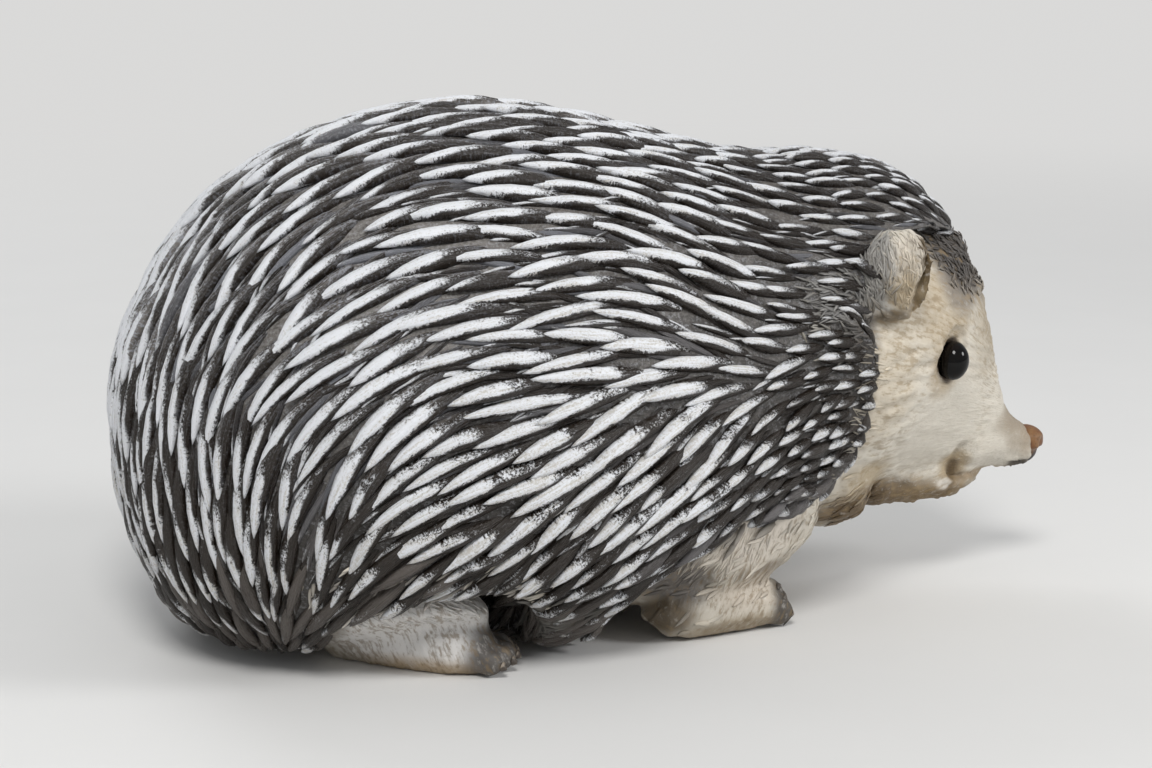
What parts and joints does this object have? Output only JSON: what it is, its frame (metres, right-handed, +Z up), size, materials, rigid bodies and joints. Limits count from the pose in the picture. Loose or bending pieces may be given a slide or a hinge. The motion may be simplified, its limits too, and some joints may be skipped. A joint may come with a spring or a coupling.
{
  "type": "resin hedgehog ornament",
  "caption": "Life-size cast hedgehog garden ornament with a quilled back, a pale pointed face, cupped ears, bead eyes and small feet.",
  "frame": {"origin": "on the floor, below the middle of the model's length and width", "axes": "+X is the way the nose points, +Y is the animal's left, +Z is up"},
  "size_m": [0.244, 0.14, 0.1287],
  "materials": {
    "quills": "dark umber resin, dry-brushed white along the quills, under a satin sealer",
    "fur": "cream paint with an ochre wash in the carved hair, matt",
    "eyes": "glossy black bead",
    "nose": "terracotta-brown paint under a satin sealer"
  },
  "bodies": {
    "root": {"trunk": "quills", "neck": "quills", "crown": "quills", "head": "fur", "muzzle": "fur", "nose": "nose", "lower_jaw": "fur", "throat": "fur", "chest": "fur", "belly": "fur", "ear_left": "fur", "ear_right": "fur", "eye_left": "eyes", "eye_right": "eyes", "foreleg_left": "fur", "foreleg_right": "fur", "forepaw_left": "fur", "forepaw_right": "fur", "hindfoot_left": "fur", "hindfoot_right": "fur", "haunch_left": "fur", "haunch_right": "fur"}
  },
  "joints": []
}
